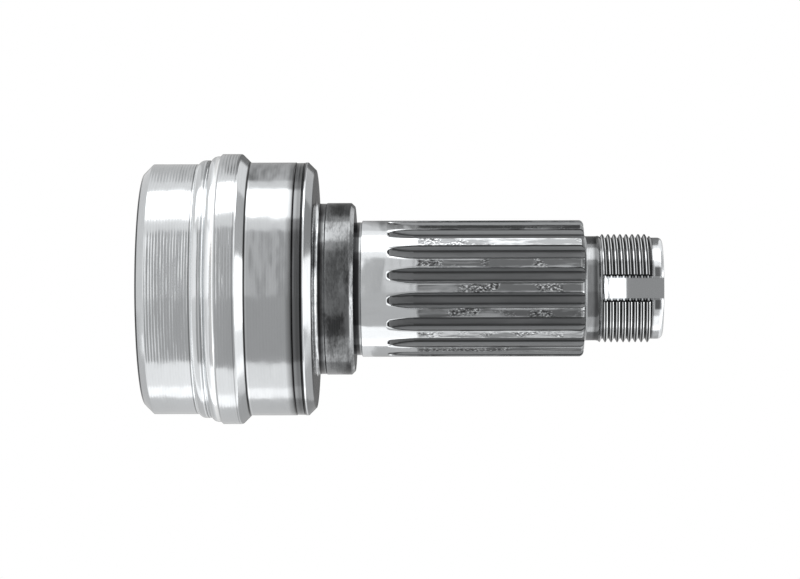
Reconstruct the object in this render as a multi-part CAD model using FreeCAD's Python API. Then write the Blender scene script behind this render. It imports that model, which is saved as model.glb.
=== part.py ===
import FreeCAD, Part
import math
import os

# Outer constant-velocity joint of a drive shaft: a bell with a splined stub shaft, and in the bell
# a cage, six balls and an inner race that tilt about the joint's centre.
# Millimetres. The origin is the joint's centre, +X points along the stub to its threaded end,
# -X out of the bell's mouth, and +Z is up. The keyway faces -Y.

V = FreeCAD.Vector
X_AXIS = V(1, 0, 0)
Z_AXIS = V(0, 0, 1)
CENTRE = V(0, 0, 0)
PAST = 1.0                     # how far a cutting tool runs past the face it leaves

# Fits
track_play = 0.08              # ball to ball track, radial
sphere_play = 0.08             # between two spherical seats, radial
window_play = 0.16             # ball to the window's side, along the axis
ring_play = 0.05               # snap ring to the bottom of its groove

# Balls and how far the joint bends
ball_count = 6
ball_r = 6.35
ball_pitch_r = 21.5
track_offset = 1.6             # track centres before and behind the joint's centre
bend_deg = 42.0
track_spare_deg = 4.0          # track left behind the ball at full bend
track_reach_deg = 65.0         # a track's cutter leaves the metal this far round its centre
first_ball_deg = -90.0         # turns a part drawn on +Z to the first ball's place on +Y

# Bell, outside, from the mouth to the shoulder
mouth_depth = 14.0             # from the joint's centre to the mouth
track_wall = 3.26              # metal left between the tracks and the front cylinder
rim_bevel = 2.3
front_len = 13.6
low_ridge_height = 0.95        # ridges and flange stand this far over the front cylinder
low_ridge_rise = 2.1
low_ridge_len = 0.8
notch_depth = 0.2
notch_len = 0.25
high_ridge_height = 1.95
high_ridge_rise = 1.75
high_ridge_len = 0.5
ridge_crown = 0.35             # how far the two rises bulge
flange_height = 2.5
flange_edge = 0.55
flange_len = 4.85
flange_bevel = 2.15            # height of the flange over the rear cylinder
rear_len = 14.35
band_depth = 0.12              # shallow turned band beside the rear edge
band_len = 2.3
band_edge = 0.7                # full diameter left between the band and the rear bevel
rear_bevel = 1.9
shoulder_dish = 1.2            # how far the shoulder slopes towards the boss

# Bell, inside
seat_rise = 3.4                # spherical seat of the cage, outside the balls' pitch circle
pocket_lip = 4.9               # the seat ends this far short of its pole
pocket_r = 12.0
pocket_depth = 6.0             # from the seat's end to the bell's flat bottom
pocket_fillet = 2.5
mouth_cone_depth = 4.0
rim_width = 1.95               # flat rim round the mouth

# Stub shaft
boss_r = 21.45
boss_len = 8.5
boss_bevel = 0.9
boss_fillet = 1.0
undercut_depth = 0.4
undercut_len = 1.75
stub_r = 17.0
land_len = 6.25
spline_len = 48.8
spline_teeth = 17
spline_depth = 1.55
spline_corner_r = 0.55         # round at the foot of each tooth
spline_end_round = 1.1
spline_turn_deg = -0.5
pressure_deg = 30.0
hob_r = 22.0                   # its round leaves the run-out at each groove's closed end
neck_r = 13.1
neck_len = 3.6
thread_r = 13.5
thread_len = 13.2
thread_bevel = 0.6
pilot_r = 12.6
pilot_len = 2.8
end_round = 1.2

# Keyway across the thread, for locking the hub nut
key_width = 5.0
key_depth = 2.2
key_len = 15.4                 # from the end face to where it surfaces in the thread
key_cutter_r = 14.0

# Centre drilling in the end face
drill_r = 1.6
drill_depth = 7.0
drill_cone_r = 4.0
drill_cone_deg = 30.0

# Cage
cage_wall = 3.1
cage_half_len = 12.0
cage_bevel = 0.5
window_half_len = 7.2          # round the cage: the balls shift in their windows as the joint bends
window_corner_r = 3.0

# Inner race
race_half_len = 8.5
race_bevel = 0.6
bar_teeth = 24                 # spline for the drive shaft's bar
bar_r = 9.5
bar_depth = 0.75
bar_mouth_bevel = 0.7

# Snap ring in the inner race's bore
wire_r = 0.8
ring_groove_depth = 0.8
ring_pos = 4.5
ring_gap_deg = 40.0

# Sizes and places worked out from those above
track_r = ball_r + track_play
track_path_r = math.hypot(ball_pitch_r, track_offset)
rest_deg = math.degrees(math.asin(track_offset / track_path_r))
seat_r = ball_pitch_r + seat_rise
cage_outer_r = seat_r - sphere_play
cage_inner_r = cage_outer_r - cage_wall
race_r = cage_inner_r - sphere_play
front_r = track_path_r + track_r + track_wall
low_ridge_r = front_r + low_ridge_height
high_ridge_r = front_r + high_ridge_height
flange_r = front_r + flange_height
rear_r = flange_r - flange_bevel
mouth_cone_r = front_r - rim_bevel - rim_width
seat_back = seat_r - pocket_lip
pocket_floor = seat_back + pocket_depth
undercut_r = stub_r - undercut_depth
spline_root_r = stub_r - spline_depth
key_floor = thread_r - key_depth
bar_root_r = bar_r - bar_depth
ring_groove_r = bar_r + ring_groove_depth

x_mouth = -mouth_depth
x_low_ridge = x_mouth + front_len
x_low_top = x_low_ridge + low_ridge_rise
x_notch = x_low_top + low_ridge_len
x_high_ridge = x_notch + notch_len
x_high_top = x_high_ridge + high_ridge_rise
x_high_end = x_high_top + high_ridge_len
x_flange = x_high_end + flange_edge
x_flange_end = x_flange + flange_len
x_rear = x_flange_end + flange_bevel
x_rear_end = x_rear + rear_len
x_band_end = x_rear_end - band_edge
x_band = x_band_end - band_len
x_shoulder = x_rear_end + rear_bevel
x_boss = x_shoulder + shoulder_dish
x_boss_end = x_boss + boss_len
x_land = x_boss_end + undercut_len
x_spline = x_land + land_len
x_spline_end = x_spline + spline_len
x_thread = x_spline_end + neck_len
x_thread_end = x_thread + thread_len
x_end = x_thread_end + pilot_len


def sphere_height(radius, x):
    """Distance from the axis of a sphere round the centre, at x along the axis."""
    return math.sqrt(radius ** 2 - x ** 2)


def wire_of(start, moves):
    """Closed wire in the XZ plane. A move is one point for a line, or two for an arc through the
    first to the second."""
    edges = []
    here = V(start[0], 0, start[1])
    for move in moves:
        points = [V(x, 0, z) for x, z in move]
        if len(points) == 1:
            edges.append(Part.makeLine(here, points[0]))
        else:
            edges.append(Part.Arc(here, points[0], points[1]).toShape())
        here = points[-1]
    edges.append(Part.makeLine(here, V(start[0], 0, start[1])))
    return Part.Wire(edges)


def turned(start, moves):
    """Solid turned about the X axis from an outline given as for wire_of."""
    return Part.Face(wire_of(start, moves)).revolve(CENTRE, X_AXIS, 360)


def corner_arc(centre, radius, from_deg, to_deg):
    """The arc move of a round corner in the XZ plane, its angles counted from +X towards +Z."""
    middle = math.radians((from_deg + to_deg) / 2)
    last = math.radians(to_deg)
    return [(centre[0] + radius * math.cos(middle), centre[1] + radius * math.sin(middle)),
            (centre[0] + radius * math.cos(last), centre[1] + radius * math.sin(last))]


def around(shape, count, first_deg=0.0):
    """Copies of a shape spaced evenly about the X axis."""
    copies = []
    for index in range(count):
        copy = shape.copy()
        copy.rotate(CENTRE, X_AXIS, first_deg + index * 360.0 / count)
        copies.append(copy)
    return copies


def crowned(x1, r1, x2, r2, rise):
    """The arc move of a rise from one diameter to the next that bulges outwards by rise."""
    length = math.hypot(x2 - x1, r2 - r1)
    middle = ((x1 + x2) / 2 - rise * (r2 - r1) / length,
              (r1 + r2) / 2 + rise * (x2 - x1) / length)
    return [middle, (x2, r2)]


def bell_outline():
    """Outline moves of the bell's outside, from the rim to the shoulder's foot."""
    return [
        [(x_mouth + rim_bevel, front_r)],
        [(x_low_ridge, front_r)],
        crowned(x_low_ridge, front_r, x_low_top, low_ridge_r, ridge_crown),
        [(x_notch, low_ridge_r)],
        [(x_high_ridge, low_ridge_r - notch_depth)],
        crowned(x_high_ridge, low_ridge_r - notch_depth, x_high_top, high_ridge_r, ridge_crown),
        [(x_high_end, high_ridge_r)],
        [(x_flange, flange_r)],
        [(x_flange_end, flange_r)],
        [(x_rear, rear_r)],
        [(x_band, rear_r)],
        [(x_band + band_depth, rear_r - band_depth)],
        [(x_band_end - band_depth, rear_r - band_depth)],
        [(x_band_end, rear_r)],
        [(x_rear_end, rear_r)],
        [(x_shoulder, rear_r - rear_bevel)],
        [(x_boss - boss_fillet, boss_r + boss_fillet)],
        corner_arc((x_boss, boss_r + boss_fillet), boss_fillet, 180, 270),
    ]


def stub_outline():
    """Outline moves of the boss and the stub shaft, up to the middle of the end face."""
    return [
        [(x_boss_end - boss_bevel, boss_r)],
        [(x_boss_end, boss_r - boss_bevel)],
        [(x_boss_end, undercut_r)],
        [(x_land, undercut_r)],
        [(x_land, stub_r)],
        [(x_spline_end - spline_end_round, stub_r)],
        corner_arc((x_spline_end - spline_end_round, stub_r - spline_end_round),
                   spline_end_round, 90, 0),
        [(x_spline_end, neck_r)],
        [(x_thread, neck_r)],
        [(x_thread + thread_r - neck_r, thread_r)],
        [(x_thread_end - thread_bevel, thread_r)],
        [(x_thread_end, pilot_r)],
        [(x_end - end_round, pilot_r)],
        corner_arc((x_end - end_round, pilot_r - end_round), end_round, 90, 0),
        [(x_end, 0)],
    ]


def cavity_outline():
    """Outline moves of the bell's inside, from the axis at the bottom out to the rim."""
    seat_middle = (seat_back + x_mouth + mouth_cone_depth) / 2
    seat_front = x_mouth + mouth_cone_depth
    seat_end_r = sphere_height(seat_r, seat_back)
    return [
        [(pocket_floor, 0)],
        [(pocket_floor, pocket_r - pocket_fillet)],
        corner_arc((pocket_floor - pocket_fillet, pocket_r - pocket_fillet), pocket_fillet, 0, 90),
        [(seat_back + seat_end_r - pocket_r, pocket_r)],
        [(seat_back, seat_end_r)],
        [(seat_middle, sphere_height(seat_r, seat_middle)),
         (seat_front, sphere_height(seat_r, seat_front))],
        [(x_mouth, mouth_cone_r)],
        [(x_mouth - PAST, mouth_cone_r)],
    ]


def track_point(side, angle_deg):
    """Ball centre on a track in the XZ plane. side is -1 for the bell's tracks, 1 for the race's."""
    angle = math.radians(angle_deg)
    return V(side * track_offset + track_path_r * math.sin(angle), 0,
             track_path_r * math.cos(angle))


def track_tool(side, from_deg, to_deg):
    """Ball swept along its track, an arc about the track's own centre."""
    first = track_point(side, from_deg)
    tangent = V(math.cos(math.radians(from_deg)), 0, -math.sin(math.radians(from_deg)))
    circle = Part.Face(Part.Wire(Part.makeCircle(track_r, first, tangent)))
    return circle.revolve(V(side * track_offset, 0, 0), V(0, 1, 0), to_deg - from_deg)


def flank_angle(radius, teeth_count, pitch_r):
    """Half a tooth's angle at a radius, on involute flanks, in radians."""
    base_r = pitch_r * math.cos(math.radians(pressure_deg))

    def involute(r):
        slope = math.acos(base_r / r)
        return math.tan(slope) - slope

    return math.pi / (2 * teeth_count) + involute(pitch_r) - involute(radius)


def on_circle(radius, angle):
    """Point of a tooth space's outline, in the YZ plane, its angle counted from +Z."""
    return V(0, radius * math.sin(angle), radius * math.cos(angle))


def spline_groove_face():
    """One tooth space in the plane x = 0: a floor, round feet and two involute flanks."""
    pitch_r = (spline_root_r + stub_r) / 2
    base_r = pitch_r * math.cos(math.radians(pressure_deg))
    top_r = stub_r + PAST

    def flank(radius):
        return math.pi / spline_teeth - flank_angle(radius, spline_teeth, pitch_r)

    lean = math.acos(base_r / spline_root_r) + flank(spline_root_r)
    foot_r = spline_root_r + spline_corner_r * (1 - math.sin(lean))
    foot = on_circle(foot_r, flank(foot_r))
    middle = on_circle(stub_r, flank(stub_r))
    top = on_circle(top_r, flank(top_r))
    floor = V(0, foot.y - spline_corner_r * math.cos(lean), spline_root_r)
    half_bend = (lean + math.pi / 2) / 2
    bend = floor + V(0, spline_corner_r * math.cos(half_bend),
                     spline_corner_r * (1 - math.sin(half_bend)))

    def mirrored(point):
        return V(0, -point.y, point.z)

    edges = [
        Part.makeLine(mirrored(floor), floor),
        Part.Arc(floor, bend, foot).toShape(),
        Part.Arc(foot, middle, top).toShape(),
        Part.makeLine(top, mirrored(top)),
        Part.Arc(mirrored(top), mirrored(middle), mirrored(foot)).toShape(),
        Part.Arc(mirrored(foot), mirrored(bend), mirrored(floor)).toShape(),
    ]
    return Part.Face(Part.Wire(edges))


def spline_groove_tools():
    """The straight groove to the shaft's end, and the hob's round where it lifts out."""
    depth = stub_r - spline_root_r
    run_out = math.sqrt(2 * hob_r * depth - depth ** 2)
    face = spline_groove_face()
    face.translate(V(x_spline + run_out, 0, 0))
    straight = face.extrude(V(x_spline_end + PAST - x_spline - run_out, 0, 0))
    hob_centre = V(x_spline + run_out, 0, spline_root_r + hob_r)
    lift_deg = math.degrees(math.acos((hob_r - depth - PAST) / hob_r))
    lifted = face.revolve(hob_centre, V(0, 1, 0), lift_deg)
    return straight, lifted


def keyway_tools():
    """Slot through the thread to the end face, with the round of the disc cutter at its start."""
    rise = thread_r - key_floor
    run_out = math.sqrt(2 * key_cutter_r * rise - rise ** 2)
    x_floor = x_end - key_len + run_out
    slot = Part.makeBox(x_end + PAST - x_floor, thread_r, key_width,
                        V(x_floor, -key_floor - thread_r, -key_width / 2))
    disc = Part.makeCylinder(key_cutter_r, key_width,
                             V(x_floor, -key_floor - key_cutter_r, -key_width / 2), Z_AXIS)
    return [slot, disc]


def centre_drilling():
    """60 degree centre with its pilot hole, in the end face."""
    cone_depth = (drill_cone_r - drill_r) / math.tan(math.radians(drill_cone_deg))
    tip_depth = drill_r / math.sqrt(3)
    return turned((x_end + PAST, 0), [
        [(x_end + PAST, drill_cone_r)],
        [(x_end, drill_cone_r)],
        [(x_end - cone_depth, drill_r)],
        [(x_end - drill_depth, drill_r)],
        [(x_end - drill_depth - tip_depth, 0)],
    ])


def make_outer_race():
    """Bell and stub shaft, forged and turned in one piece."""
    blank = turned((x_mouth, 0), [[(x_mouth, front_r - rim_bevel)]] + bell_outline() + stub_outline())
    cavity = turned((x_mouth - PAST, 0), cavity_outline())
    track_end_deg = rest_deg + bend_deg / 2 + track_spare_deg
    track = track_tool(-1, -track_reach_deg, track_end_deg)
    track_end = Part.makeSphere(track_r, track_point(-1, track_end_deg))
    straight, lifted = spline_groove_tools()
    space_deg = 90.0 + 180.0 / spline_teeth + spline_turn_deg
    body = blank.cut([cavity, centre_drilling()])
    body = body.cut(around(track, ball_count, first_ball_deg))
    body = body.cut(around(track_end, ball_count, first_ball_deg))
    body = body.cut(around(straight, spline_teeth, space_deg))
    body = body.cut(around(lifted, spline_teeth, space_deg))
    return body.cut(keyway_tools())


def make_cage():
    """Spherical ring with one straight-sided window for each ball."""
    outer_end = sphere_height(cage_outer_r, cage_half_len - cage_bevel)
    inner_end = sphere_height(cage_inner_r, cage_half_len - cage_bevel)
    end_x = cage_half_len - cage_bevel
    ring = turned((-cage_half_len, inner_end + cage_bevel), [
        [(-cage_half_len, outer_end - cage_bevel)],
        [(-end_x, outer_end)],
        [(0, cage_outer_r), (end_x, outer_end)],
        [(cage_half_len, outer_end - cage_bevel)],
        [(cage_half_len, inner_end + cage_bevel)],
        [(end_x, inner_end)],
        [(0, cage_inner_r), (-end_x, inner_end)],
    ])
    half_x = ball_r + window_play
    window = Part.makeBox(2 * half_x, 2 * window_half_len, cage_wall * 4,
                          V(-half_x, -window_half_len, cage_outer_r - cage_wall * 3))
    corners = [edge for edge in window.Edges
               if abs(edge.tangentAt(edge.FirstParameter).z) > 0.99]
    window = window.makeFillet(window_corner_r, corners)
    return ring.cut(around(window, ball_count, first_ball_deg))


def bar_spline_cutter():
    """The drive shaft bar's splined form, which the inner race's bore fits."""
    pitch_r = (bar_root_r + bar_r) / 2
    edges = []
    space = 2 * math.pi / bar_teeth
    for tooth in range(bar_teeth):
        middle = tooth * space
        root_half = flank_angle(bar_root_r, bar_teeth, pitch_r)
        tip_half = flank_angle(bar_r, bar_teeth, pitch_r)
        foot = on_circle(bar_root_r, middle - root_half)
        rise = on_circle(bar_r, middle - tip_half)
        fall = on_circle(bar_r, middle + tip_half)
        heel = on_circle(bar_root_r, middle + root_half)
        next_foot = on_circle(bar_root_r, middle + space - root_half)
        edges.append(Part.makeLine(foot, rise))
        edges.append(Part.Arc(rise, on_circle(bar_r, middle), fall).toShape())
        edges.append(Part.makeLine(fall, heel))
        edges.append(Part.Arc(heel, on_circle(bar_root_r, middle + space / 2), next_foot).toShape())
    face = Part.Face(Part.Wire(edges))
    face.translate(V(-race_half_len - PAST, 0, 0))
    return face.extrude(V(2 * race_half_len + 2 * PAST, 0, 0))


def make_inner_race():
    """Ball star with a track for each ball and the splined bore of the drive shaft."""
    end_x = race_half_len - race_bevel
    end_r = sphere_height(race_r, end_x)
    bore_end_r = bar_r + bar_mouth_bevel
    bore_x = race_half_len - (bore_end_r - bar_root_r)
    body = turned((-bore_x, bar_root_r), [
        [(-race_half_len, bore_end_r)],
        [(-race_half_len, end_r - race_bevel)],
        [(-end_x, end_r)],
        [(0, race_r), (end_x, end_r)],
        [(race_half_len, end_r - race_bevel)],
        [(race_half_len, bore_end_r)],
        [(bore_x, bar_root_r)],
    ])
    track = track_tool(1, -track_reach_deg, track_reach_deg)
    groove_half = wire_r + ring_play
    groove = Part.makeCylinder(ring_groove_r, 2 * groove_half, V(ring_pos - groove_half, 0, 0), X_AXIS)
    tools = [bar_spline_cutter(), groove]
    tools += around(track, ball_count, first_ball_deg)
    return body.cut(tools)


def make_balls():
    """Balls at rest in the plane of the joint's centre; the first lies on +Y."""
    return around(Part.makeSphere(ball_r, V(0, 0, ball_pitch_r)), ball_count, first_ball_deg)


def make_snap_ring():
    """Open round-wire ring that springs out into the groove of the inner race."""
    path_r = ring_groove_r - ring_play - wire_r
    start_deg = ring_gap_deg / 2
    circle = Part.Face(Part.Wire(Part.makeCircle(wire_r, V(ring_pos, 0, path_r), V(0, 1, 0))))
    wire = circle.revolve(V(ring_pos, 0, 0), X_AXIS, 360.0 - ring_gap_deg)
    wire.rotate(CENTRE, X_AXIS, start_deg + 180.0)
    return wire


def write(name, shape):
    """One STEP file for each sub-part."""
    print(name, "volume", round(shape.Volume, 1), "solids", len(shape.Solids), "valid", shape.isValid())
    shape.exportStep("parts/" + name + ".step")


os.makedirs("parts", exist_ok=True)
write("outer_race", make_outer_race())
write("cage", make_cage())
write("inner_race", make_inner_race())
for index, ball in enumerate(make_balls()):
    write("ball_" + str(index + 1), ball)
write("snap_ring", make_snap_ring())
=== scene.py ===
# %% [markdown]
# # A constant-velocity joint in turned and milled steel
# The object is the wheel-side joint of a drive shaft: a round bell with six ball tracks inside, and
# a stub shaft with splines and a threaded end. It has almost no colour, so everything depends on
# two things: outlines that catch light where a lathe or a mill left an edge, and a studio that the
# metal can mirror. The solids of the joint come in as a fixed frame, and the visible skin of the
# big forging is worked out here with numpy, in millimetres, around the same axis.

# %% Load the frame
import math

import bmesh
import bpy
import numpy as np
from mathutils import Matrix, Vector


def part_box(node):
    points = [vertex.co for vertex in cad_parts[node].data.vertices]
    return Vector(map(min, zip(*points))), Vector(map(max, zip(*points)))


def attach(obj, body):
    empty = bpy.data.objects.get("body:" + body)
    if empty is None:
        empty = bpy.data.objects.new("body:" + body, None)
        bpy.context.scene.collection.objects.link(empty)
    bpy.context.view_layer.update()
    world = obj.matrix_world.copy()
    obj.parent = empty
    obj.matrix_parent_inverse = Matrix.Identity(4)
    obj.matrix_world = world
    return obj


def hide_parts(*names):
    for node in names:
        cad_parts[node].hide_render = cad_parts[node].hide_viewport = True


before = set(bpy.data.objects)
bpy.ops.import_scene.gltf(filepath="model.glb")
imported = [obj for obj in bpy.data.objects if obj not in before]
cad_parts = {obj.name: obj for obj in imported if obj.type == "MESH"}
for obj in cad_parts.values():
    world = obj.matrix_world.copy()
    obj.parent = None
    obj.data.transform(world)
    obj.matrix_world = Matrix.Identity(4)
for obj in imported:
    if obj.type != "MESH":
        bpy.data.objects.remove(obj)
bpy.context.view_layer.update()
for end, corner in zip(("from", "to"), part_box("outer_race")):
    print("outer race", end, [round(value * 1000, 2) for value in corner])

# %% [markdown]
# ## Points, grids and outlines
# Every new piece is a grid of points: rows follow an outline along the shaft, columns go round it.
# Stored row by row, the quads between neighbours are plain index arithmetic, and one merge of
# repeated points closes seams and poles and removes the quads that have shrunk to nothing. That
# lets columns open and close, which is how a tooth space can end in the middle of the shaft.

# %% Mesh helpers
MM = 0.001


def grid_faces(rows, columns):
    """Corner numbers of the quads of a grid whose last column joins its first."""
    row = np.arange(rows - 1)[:, None] * columns
    here = np.arange(columns)[None, :]
    beside = (here + 1) % columns
    return np.stack([row + here, row + beside, row + columns + beside, row + columns + here],
                    axis=-1).reshape(-1, 4)


def as_object(name, points, faces=None, crease_deg=28.0, **marks):
    """Closed mesh object from a grid of points in millimetres, with all its quads or only the given
    ones. Faces are turned outwards, and edges that bend by more than crease_deg stay crisp under
    smooth shading. Each of marks is one number per point, kept as an attribute that a material
    can read."""
    if faces is None:
        faces = grid_faces(*points.shape[:2])
    mesh = bpy.data.meshes.new(name)
    mesh.from_pydata((points.reshape(-1, 3) * MM).tolist(), [], faces.tolist())
    for mark, values in marks.items():
        layer = mesh.attributes.new(mark, "FLOAT", "POINT")
        layer.data.foreach_set("value", np.ascontiguousarray(values, dtype=np.float32).ravel())
    shell = bmesh.new()
    shell.from_mesh(mesh)
    bmesh.ops.remove_doubles(shell, verts=shell.verts, dist=0.0004 * MM)
    bmesh.ops.dissolve_degenerate(shell, dist=0.0002 * MM, edges=shell.edges)
    bmesh.ops.recalc_face_normals(shell, faces=shell.faces)
    open_edges = sum(1 for edge in shell.edges if not edge.is_manifold)
    shell.to_mesh(mesh)
    shell.free()
    mesh.shade_smooth()
    mesh.set_sharp_from_angle(angle=math.radians(crease_deg))
    piece = bpy.data.objects.new(name, mesh)
    bpy.context.scene.collection.objects.link(piece)
    print(name, len(mesh.polygons), "faces, open edges", open_edges)
    return piece


def polar(x, r, angle):
    """Points at distance r from the X axis, the angle counted from +Y towards +Z."""
    x, r, angle = np.broadcast_arrays(x, r, angle)
    return np.stack([x, r * np.cos(angle), r * np.sin(angle)], axis=-1)


def all_round(groove, land, count):
    """Angles and radii of a groove and the land beside it, repeated evenly round the axis. Each of
    the two comes as a pair (angles, radii)."""
    angles, radii = (np.concatenate(pair, axis=1) for pair in zip(groove, land))
    turns = np.arange(count)[None, :, None] * (2 * math.pi / count)
    return ((angles[:, None, :] + turns).reshape(len(angles), -1),
            np.repeat(radii[:, None, :], count, axis=1).reshape(len(radii), -1))


def rounded(corners, steps=5):
    """Outline (x, r) through corners (x, r, fillet). A corner with a fillet becomes an arc that
    leaves each side at fillet * tan(turn / 2) from the corner."""
    corners = np.array(corners, dtype=float)
    out = [corners[:1, :2]]
    for before, corner, after in zip(corners[:-2], corners[1:-1], corners[2:]):
        to_before = (before - corner)[:2]
        to_after = (after - corner)[:2]
        to_before /= np.linalg.norm(to_before)
        to_after /= np.linalg.norm(to_after)
        turn = math.pi - math.acos(np.clip(to_before @ to_after, -1, 1))
        if corner[2] == 0 or turn < 0.02:
            out.append(corner[None, :2])
            continue
        reach = corner[2] * math.tan(turn / 2)
        middle = to_before + to_after
        centre = corner[:2] + middle / np.linalg.norm(middle) * corner[2] / math.cos(turn / 2)
        start = corner[:2] + to_before * reach - centre
        end = corner[:2] + to_after * reach - centre
        share = np.linspace(0, 1, steps)[:, None]
        arc = (np.sin((1 - share) * turn) * start + np.sin(share * turn) * end) / math.sin(turn)
        out.append(centre + arc)
    out.append(corners[-1:, :2])
    return np.vstack(out)


def crowned(x1, r1, x2, r2, rise, steps=8):
    """Corner rows, running towards the mouth, of an arc from one diameter to the next whose middle
    bulges outwards by rise."""
    t = np.linspace(0, 1, steps)
    length = math.hypot(x2 - x1, r2 - r1)
    bulge = 4 * rise * t * (1 - t)
    x = x1 + (x2 - x1) * t + bulge * (r2 - r1) / length
    r = r1 + (r2 - r1) * t - bulge * (x2 - x1) / length
    return [(a, b, 0.0) for a, b in zip(x, r)]


# %% [markdown]
# ## The sizes
# These are the forging's own sizes in millimetres, the same as in the solids. x is counted from
# the centre of the ball joint towards the threaded end. Each place is the sum of the lengths
# before it, as on a lathe drawing.

# %% Sizes of the bell and the stub
ball_count, ball_r, pitch_circle_r, track_offset, bend_deg = 6, 6.35, 21.5, 1.6, 42.0
track_r = ball_r + 0.08
track_path_r = math.hypot(pitch_circle_r, track_offset)
track_end_deg = math.degrees(math.asin(track_offset / track_path_r)) + bend_deg / 2 + 4.0
seat_r = pitch_circle_r + 3.4
front_r = track_path_r + track_r + 3.26
low_r, high_r, flange_r = front_r + 0.95, front_r + 1.95, front_r + 2.5
rear_r = flange_r - 2.15
rim_bevel, rim_width, cone_depth = 2.3, 1.95, 4.0
cone_r = front_r - rim_bevel - rim_width

x_mouth = -14.0
x_low = x_mouth + 13.6
x_low_top = x_low + 2.1
x_notch = x_low_top + 0.8
x_high = x_notch + 0.25
x_high_top = x_high + 1.75
x_high_end = x_high_top + 0.5
x_flange = x_high_end + 0.55
x_flange_end = x_flange + 4.85
x_rear = x_flange_end + 2.15
x_rear_end = x_rear + 14.35
x_shoulder = x_rear_end + 1.9
x_boss = x_shoulder + 1.2
x_boss_end = x_boss + 8.5
x_land = x_boss_end + 1.75
x_spline = x_land + 6.25
x_spline_end = x_spline + 48.8
x_thread = x_spline_end + 3.6
x_thread_end = x_thread + 13.2
x_end = x_thread_end + 2.8
boss_r, undercut_r, stub_r, neck_r, thread_r, pilot_r, end_round = 21.45, 16.6, 17.0, 13.1, 13.5, 12.6, 1.2
print("front", round(front_r, 3), "flange", round(flange_r, 3), "end", round(x_end, 2))

# %% [markdown]
# ## The bell
# On the real bell the outside is turned, and the six tracks inside are milled arcs into a
# spherical seat. One grid makes both. Its rows run from the middle of the back over the outside,
# round the rim, down the mouth's cone and the seat to the bottom. Its columns are split by track:
# some lie in the track and share its width, the rest share the metal between two tracks. Outside,
# and past a track's two ends, the track's columns have no width and vanish in the merge, so the
# track's edge is a true line of the mesh and not a staircase.

# %% Outline of the bell's outside
x_foot, foot_r = x_boss - 1.0, boss_r + 1.0


def bell_outside():
    """Outline rows from the axis at the back, over the shoulder and the ridges, to the rim. The
    shoulder ends at the boss's foot, (x_foot, foot_r), and a dark band lies before its bevel."""
    band_end, band_len, line = x_rear_end - 0.7, 2.3, 0.14
    corners = [
        (x_foot - 0.3, 0.0, 0.0),
        (x_foot - 0.3, boss_r - 1.5, 0.0),
        (x_foot, foot_r, 0.0),
        (x_shoulder, rear_r - 1.9, 0.25),
        (x_rear_end, rear_r, 0.15),
        (band_end, rear_r, 0.0),
        (band_end - line, rear_r - 0.25, 0.0),
        (band_end - 2 * line, rear_r - 0.1, 0.0),
        (band_end - band_len + 2.5 * line, rear_r - 0.12, 0.0),
        (band_end - band_len + 1.5 * line, rear_r - 0.25, 0.0),
        (band_end - band_len, rear_r, 0.0),
        (x_rear, rear_r, 0.25),
        (x_flange_end, flange_r, 0.8),
        (x_flange, flange_r, 0.12),
        (x_high_end, high_r, 0.08),
    ]
    corners += crowned(x_high_top, high_r, x_high, low_r - 0.2, 0.35)
    corners += [
        (x_notch, low_r - 0.05, 0.0),
        (x_notch - 0.12, low_r, 0.0),
        (x_notch - 0.3, low_r, 0.0),
        (x_notch - 0.4, low_r - 0.12, 0.0),
        (x_notch - 0.5, low_r, 0.0),
    ]
    corners += crowned(x_low_top, low_r, x_low, front_r, 0.35)
    corners += [
        (x_mouth + rim_bevel, front_r, 0.35),
        (x_mouth, front_r - rim_bevel, 0.25),
        (x_mouth, cone_r, 0.0),
    ]
    return rounded(corners)


# %% [markdown]
# The inside needs three formulas: how wide the seat is, how high a track runs, and, from the two,
# how wide the track is where it cuts the seat.

# %% The tracks and the seat, as formulas
x_seat_end, bottom_r, bottom_depth = seat_r - 4.9, 12.0, 6.0


def seat_radius(x):
    """Radius of the bell's inside at x: the mouth's cone, then the sphere round the centre."""
    x_seat = x_mouth + cone_depth
    r_seat = math.sqrt(seat_r ** 2 - x_seat ** 2)
    cone = cone_r + (x - x_mouth) * (r_seat - cone_r) / cone_depth
    sphere = np.sqrt(np.maximum(seat_r ** 2 - x ** 2, 0))
    return np.where(x < x_seat, cone, sphere)


def track_height(x, side):
    """Height above the axis of the milled track at x, side being the distance from its middle
    plane. The track is a tube bent about a centre track_offset before the joint's centre; behind
    the last place of the ball it closes with the round of the ball itself."""
    across = np.sqrt(np.maximum(track_r ** 2 - side ** 2, 0))
    tube = np.sqrt(np.maximum((track_path_r + across) ** 2 - (x + track_offset) ** 2, 0))
    end = math.radians(track_end_deg)
    x_end_ball = -track_offset + track_path_r * math.sin(end)
    r_end_ball = track_path_r * math.cos(end)
    inside = across ** 2 - (x - x_end_ball) ** 2
    ball = np.where(inside > 0, r_end_ball + np.sqrt(np.maximum(inside, 0)), 0)
    return np.where(np.arctan2(x + track_offset, tube) <= end, tube, ball)


def track_half_width(x):
    """Side distance at which the track's surface meets the seat, for each x; 0 outside it."""
    side = np.linspace(0, track_r, 400)[None, :]
    depth = np.hypot(track_height(x[:, None], side), side) - seat_radius(x)[:, None]
    out = np.argmax(depth < 0, axis=1)
    out = np.where(depth[:, 0] < 0, 0, out)
    last = np.maximum(out - 1, 0)
    rows = np.arange(len(x))
    share = depth[rows, last] / np.maximum(depth[rows, last] - depth[rows, out], 1e-9)
    width = side[0, last] + np.clip(share, 0, 1) * (side[0, out] - side[0, last])
    return np.where(out == 0, 0, width)


# %% [markdown]
# Now the rows and columns can be filled in. Rows stand closer together where a track begins and
# ends, because its edge turns fastest there.

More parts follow.
